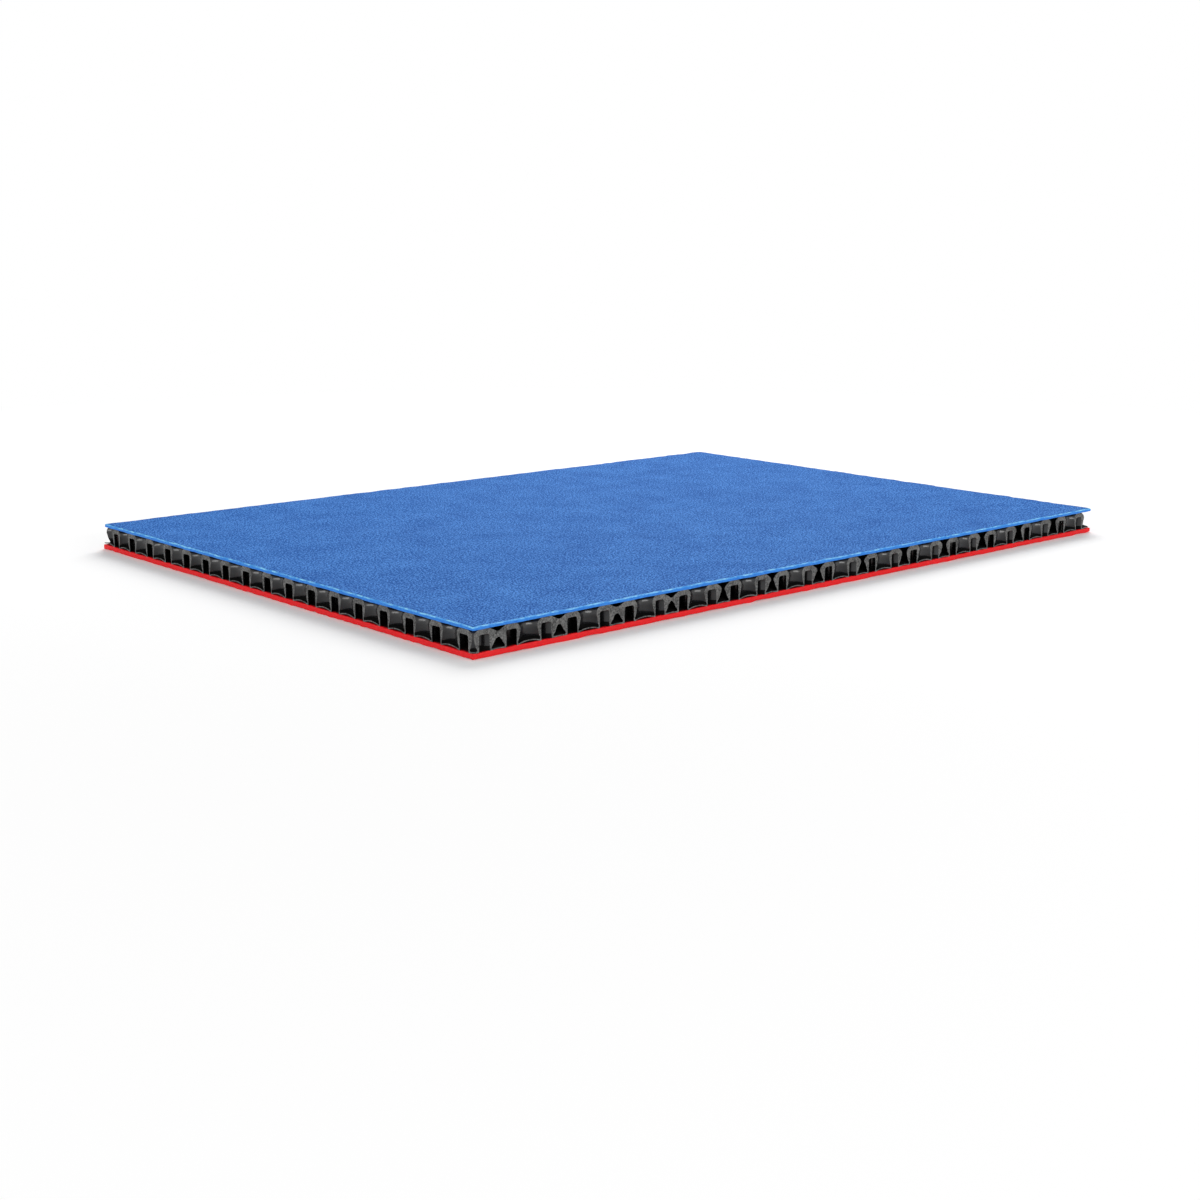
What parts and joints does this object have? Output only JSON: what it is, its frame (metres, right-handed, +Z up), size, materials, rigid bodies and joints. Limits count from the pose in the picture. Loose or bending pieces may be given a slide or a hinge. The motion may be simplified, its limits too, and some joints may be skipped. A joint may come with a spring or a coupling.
{
  "type": "polypropylene sandwich panel",
  "caption": "Flat rectangular sandwich panel: blue top sheet, black core sheet with formed pockets open at the sawn edges, and red bottom sheet, fused together.",
  "frame": {"origin": "middle of the underside of the red bottom sheet", "axes": "+X along the long side, +Y along the short side, +Z up through the panel to the blue face"},
  "size_m": [0.317, 0.229, 0.01],
  "materials": {
    "top_sheet": "blue polypropylene, fine matte grain",
    "core_sheet": "black polypropylene, satin where formed, dull where sawn",
    "bottom_sheet": "red polypropylene, fine matte grain"
  },
  "bodies": {
    "root": {"top_sheet": "top_sheet", "core_sheet": "core_sheet", "bottom_sheet": "bottom_sheet"}
  },
  "joints": []
}
